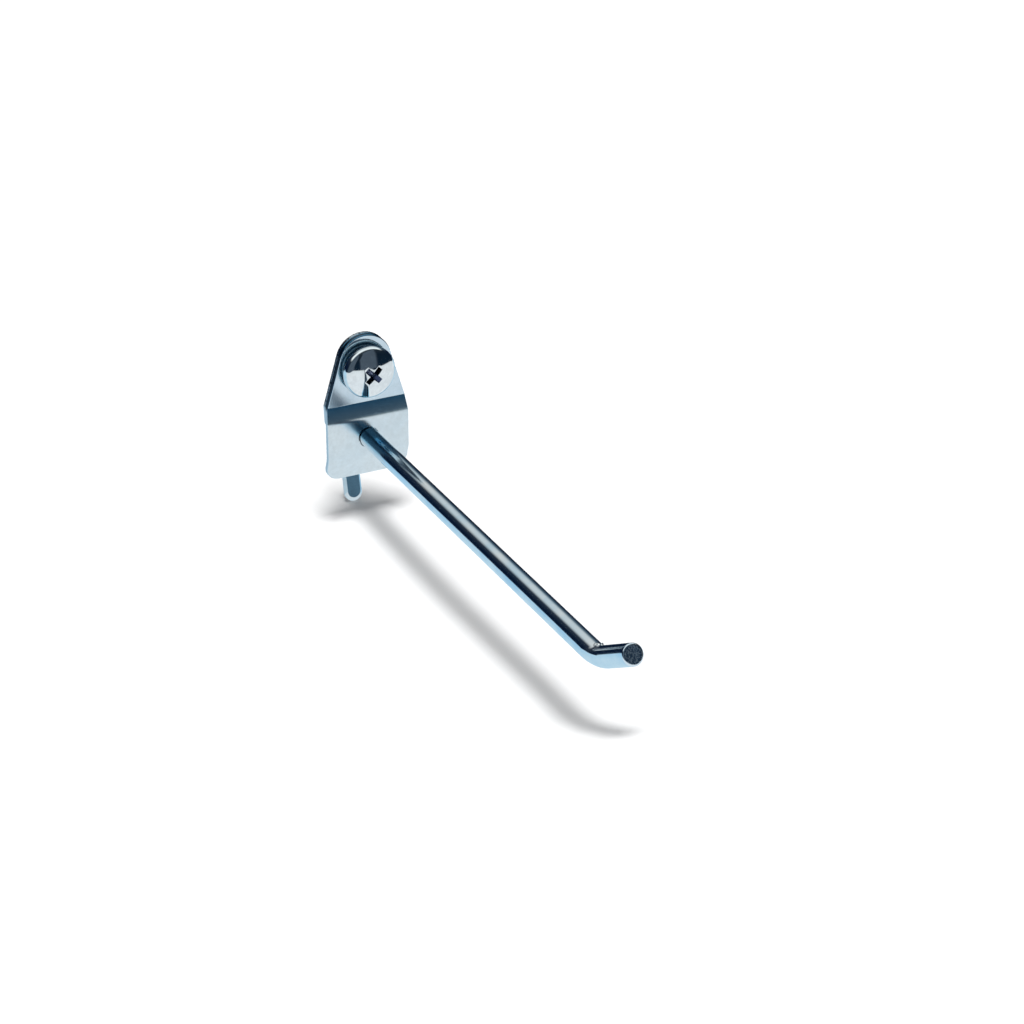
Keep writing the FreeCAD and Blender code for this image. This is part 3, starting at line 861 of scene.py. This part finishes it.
def tent_ramp(n, height, stops):
    """A colour for each height on the tent."""
    node = n.add("ShaderNodeValToRGB", {"Fac": n.math("MULTIPLY_ADD", height, 0.5, 0.5)})
    elements = node.color_ramp.elements
    for _ in stops[2:]:
        elements.new(0.5)
    for element, (at, value) in zip(elements, stops):
        element.position = at / 2 + 0.5
        element.color = rgba(value)
    return node.outputs["Color"]


def front_cloth(n, axes, turn):
    """Front of the tent: pale below its rim and dark above, behind a grey card with gaps in it.

    To the right of the middle, the dark cloth hangs lower.
    """
    sag = n.band(turn, 0.25, 0.38, 0.46, 0.62)
    cloth = tent_ramp(n, n.math("MULTIPLY_ADD", sag, FRONT_SAG, axes["Z"]), FRONT_CLOTH)
    stripe = n.band(axes["X"], -0.42, -0.34, -0.18, -0.10)
    sides = n.math("MAXIMUM", n.ramp(axes["X"], 0.43, 0.55), n.ramp(turn, -1.3, -1.7))
    closed = n.math("SUBTRACT", 1.0, n.math("MAXIMUM", stripe, sides))
    card = n.math("MULTIPLY", n.band(axes["Z"], -0.11, -0.085, 0.85, 0.97), closed)
    return n.mix(card, cloth, rgba(CARD))


def back_cloth(n, axes, way):
    """Back of the tent: pale blue below and dark above.

    In the middle and to the right, the dark cloth hangs lower.
    """
    drape = n.math("MULTIPLY", n.ramp(n.dot(way, DRAPE_WAY), 0.86, 0.95), DRAPE)
    fold = n.math("MULTIPLY", n.ramp(axes["X"], -0.05, 0.15), n.ramp(axes["Y"], 0.55, 0.75))
    hang = n.math("MAXIMUM", drape, n.math("MULTIPLY", fold, FOLD))
    return tent_ramp(n, n.math("ADD", hang, axes["Z"]), BACK_CLOTH)


def tent_material():
    """The light tent: its front and back cloths, two soft lights and a long strip of light overhead."""
    material, n, out = stage_material("tent_cloth")
    place = n.add("ShaderNodeTexCoord").outputs["Object"]
    way = n.add("ShaderNodeVectorMath", {0: place}, operation="NORMALIZE").outputs["Vector"]
    axes = n.axes(way)
    turn = n.math("ARCTAN2", axes["X"], n.math("MULTIPLY", axes["Y"], -1.0))
    surround = n.mix(n.ramp(axes["Y"], -0.1, 0.4), front_cloth(n, axes, turn), back_cloth(n, axes, way))
    for direction, begins, full, tint in SOFT_LIGHTS:
        surround = n.mix(n.ramp(n.dot(way, direction), begins, full), surround, rgba(tint))
    off_strip = n.math("ABSOLUTE", n.math("SUBTRACT", axes["Y"], STRIP_PLACE))
    strip = n.math("MULTIPLY", n.ramp(off_strip, 0.30, 0.16), n.ramp(axes["Z"], 0.50, 0.70))
    surround = n.mix(strip, surround, rgba(STRIP))
    glow = n.add("ShaderNodeEmission", {"Color": surround, "Strength": 1.0})
    n.put(out, "Surface", glow.outputs[0])
    material.cycles.emission_sampling = "NONE"
    return material


def set_world(s):
    """White for the camera and for reflections, a softer grey as the light on the floor."""
    world = bpy.data.worlds.new("studio")
    world.use_nodes = True
    world.node_tree.nodes.clear()
    n = Nodes(world.node_tree)
    strength = n.ramp(background_rays(n), 0.0, 1.0, s.ambient, 1.0, smooth=False)
    sky = n.add("ShaderNodeBackground", {"Color": (1.0, 1.0, 1.0, 1.0), "Strength": strength})
    n.add("ShaderNodeOutputWorld", {"Surface": sky.outputs[0]})
    bpy.context.scene.world = world


def set_key_light(s):
    """One broad overhead light, which is left out of the reflections."""
    data = bpy.data.lights.new("key", "SUN")
    data.energy = s.sun
    data.angle = s.sun_angle
    key = bpy.data.objects.new("key", data)
    key.rotation_euler = KEY_TILT
    key.visible_glossy = False
    bpy.context.scene.collection.objects.link(key)


def set_camera():
    """The photograph's view: a long lens from the front, to the left and above."""
    azimuth, elevation, roll = (math.radians(a) for a in CAMERA_ANGLES)
    back = np.array([math.sin(azimuth) * math.cos(elevation), -math.cos(azimuth) * math.cos(elevation),
                     math.sin(elevation)])
    level = np.array([math.cos(azimuth), math.sin(azimuth), 0.0])
    rise = np.cross(back, level)
    right = level * math.cos(roll) + rise * math.sin(roll)
    up = rise * math.cos(roll) - level * math.sin(roll)
    data = bpy.data.cameras.new("camera")
    data.sensor_width = CAMERA_SENSOR
    data.lens = CAMERA_LENS
    data.clip_start = CAMERA_NEAR
    data.clip_end = CAMERA_FAR
    camera = bpy.data.objects.new("camera", data)
    turn = Matrix([(right[i], up[i], back[i]) for i in range(3)]).to_4x4()
    camera.matrix_world = Matrix.Translation(CAMERA_PLACE) @ turn
    bpy.context.scene.collection.objects.link(camera)
    bpy.context.scene.camera = camera


def paper_floor(s):
    """A sheet of paper that carries the tongue's tip.

    Its height depends on y alone: it sags by a bell curve under the rod, and rises to the front by a smooth
    step, which is three times the square less twice the cube of the way through it.
    """
    near = np.linspace(FLOOR_FRONT, FLOOR_BACK, FLOOR_STEPS)
    y = np.concatenate([[-FLOOR_REACH], near, [FLOOR_REACH]])
    way = np.clip((s.curl_start - y) / s.curl_run, 0, 1)
    curl = s.curl_height * (3 * way ** 2 - 2 * way ** 3)
    z = TONGUE_TIP - FLOOR_CLEAR - s.sag * bell(y + s.sag_place, s.sag_place) + curl
    left = np.stack([np.full_like(y, -FLOOR_REACH), y, z], -1)
    right = left * (-1, 1, 1)
    count = len(y)
    at = np.arange(count - 1)
    faces = np.stack([at, at + count, at + count + 1, at + 1], -1)
    mesh = bpy.data.meshes.new("floor")
    mesh.from_pydata(np.concatenate([left, right]).tolist(), [], faces.tolist())
    mesh.polygons.foreach_set("use_smooth", np.ones(len(mesh.polygons), bool))
    mesh.update()
    floor = bpy.data.objects.new("floor", mesh)
    bpy.context.scene.collection.objects.link(floor)
    return floor


class HOOK_OT_stage(bpy.types.Operator):
    """Sets the floor, the light tent, the lamp and the camera"""
    bl_idname = "pegboard_hook.stage"
    bl_label = "Set the stage"

    def execute(self, context):
        s = context.scene.pegboard_hook.stage
        floor = paper_floor(s)
        floor.data.materials.append(floor_material(s))
        floor.visible_glossy = False

        tent = loft("tent", sphere_rows(s.tent_radius))
        tent.data.materials.append(tent_material())
        tent.visible_camera = False
        tent.visible_diffuse = False
        tent.visible_shadow = False
        tent.visible_transmission = False
        tent.visible_volume_scatter = False

        set_key_light(s)
        set_world(s)
        set_camera()
        context.scene.view_settings.view_transform = "Standard"
        return {"FINISHED"}


class HOOK_PT_panel(bpy.types.Panel):
    """Lists the steps that dress the hook"""
    bl_idname = "HOOK_PT_panel"
    bl_label = "Pegboard hook"
    bl_space_type = "VIEW_3D"
    bl_region_type = "UI"
    bl_category = "Hook"

    def draw(self, context):
        settings = context.scene.pegboard_hook
        for part, operator in (("plates", HOOK_OT_plates), ("rod", HOOK_OT_rod),
                               ("screw", HOOK_OT_screw), ("stage", HOOK_OT_stage)):
            box = self.layout.box()
            group = getattr(settings, part)
            for key in group.__annotations__:
                box.prop(group, key)
            box.operator(operator.bl_idname)


CLASSES = (
    RodSettings, ScrewSettings, PlateSettings, StageSettings, HookSettings,
    HOOK_OT_plates, HOOK_OT_rod, HOOK_OT_screw, HOOK_OT_stage, HOOK_PT_panel,
)


def register():
    for cls in CLASSES:
        bpy.utils.register_class(cls)
    bpy.types.Scene.pegboard_hook = bpy.props.PointerProperty(type=HookSettings)


def unregister():
    del bpy.types.Scene.pegboard_hook
    for cls in reversed(CLASSES):
        bpy.utils.unregister_class(cls)


def main():
    register()
    bpy.ops.pegboard_hook.stage()
    bpy.ops.pegboard_hook.plates()
    bpy.ops.pegboard_hook.rod()
    bpy.ops.pegboard_hook.screw()


if __name__ == "__main__":
    main()
